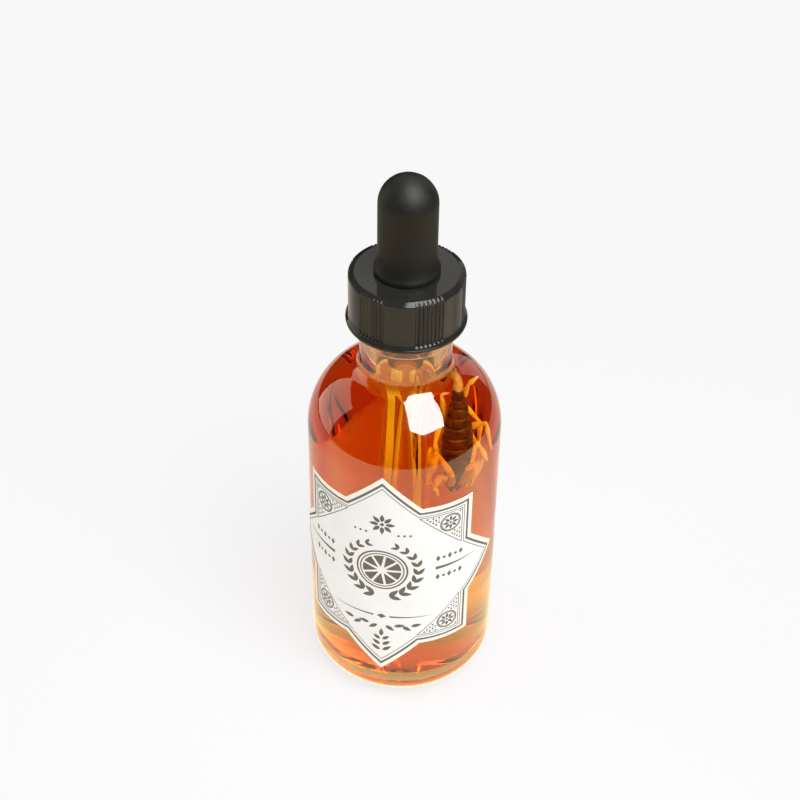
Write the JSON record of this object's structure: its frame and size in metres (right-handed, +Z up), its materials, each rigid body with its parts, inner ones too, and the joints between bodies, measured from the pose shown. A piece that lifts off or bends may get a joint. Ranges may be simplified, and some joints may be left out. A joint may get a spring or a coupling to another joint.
{
  "type": "dropper bottle",
  "caption": "Small round-shouldered clear glass dropper bottle of amber bitters, with a rubber bulb, a ribbed screw cap, a glass pipette, paper labels and a scorpion in the liquid.",
  "frame": {"origin": "middle of the foot, on the surface that the bottle stands on", "axes": "+Z up the bottle's axis; the front label faces -Y and the back label +Y"},
  "size_m": [0.039, 0.0392, 0.1203],
  "materials": {
    "clear_glass": "clear moulded flint glass",
    "pipette_glass": "clear drawn glass tube",
    "bitters": "clear amber-red liquid",
    "black_cap": "glossy moulded black phenolic",
    "black_rubber": "matt black rubber",
    "label_paper": "uncoated cream label paper with dark grey print",
    "scorpion_body": "dark brown shell",
    "scorpion_limbs": "amber-yellow shell"
  },
  "bodies": {
    "bottle": {"glass_bottle": "clear_glass", "bitters": "bitters", "front_label": "label_paper", "back_label": "label_paper", "scorpion_carapace": "scorpion_body", "scorpion_abdomen": "scorpion_body", "scorpion_tail": "scorpion_limbs", "scorpion_sting": "scorpion_body", "scorpion_left_pincer": "scorpion_limbs", "scorpion_right_pincer": "scorpion_limbs", "scorpion_left_legs": "scorpion_limbs", "scorpion_right_legs": "scorpion_limbs"},
    "dropper": {"rubber_bulb": "black_rubber", "glass_pipette": "pipette_glass", "bitters_in_pipette": "bitters"},
    "cap": {"screw_cap": "black_cap"}
  },
  "joints": [
    {"name": "dropper_lift", "type": "slide", "parent": "bottle", "child": "dropper", "axis": [0, 0, 1], "range_m": [0, 0.09209]},
    {"name": "cap_turn", "type": "hinge", "parent": "dropper", "child": "cap", "pos_m": [0, 0, 0.0885], "axis": [0, 0, 1], "range_deg": [0, 10440]}
  ],
  "couplings": [
    {"joint": "dropper_lift", "follows": "cap_turn", "m_per_rad": 0.00050532}
  ]
}
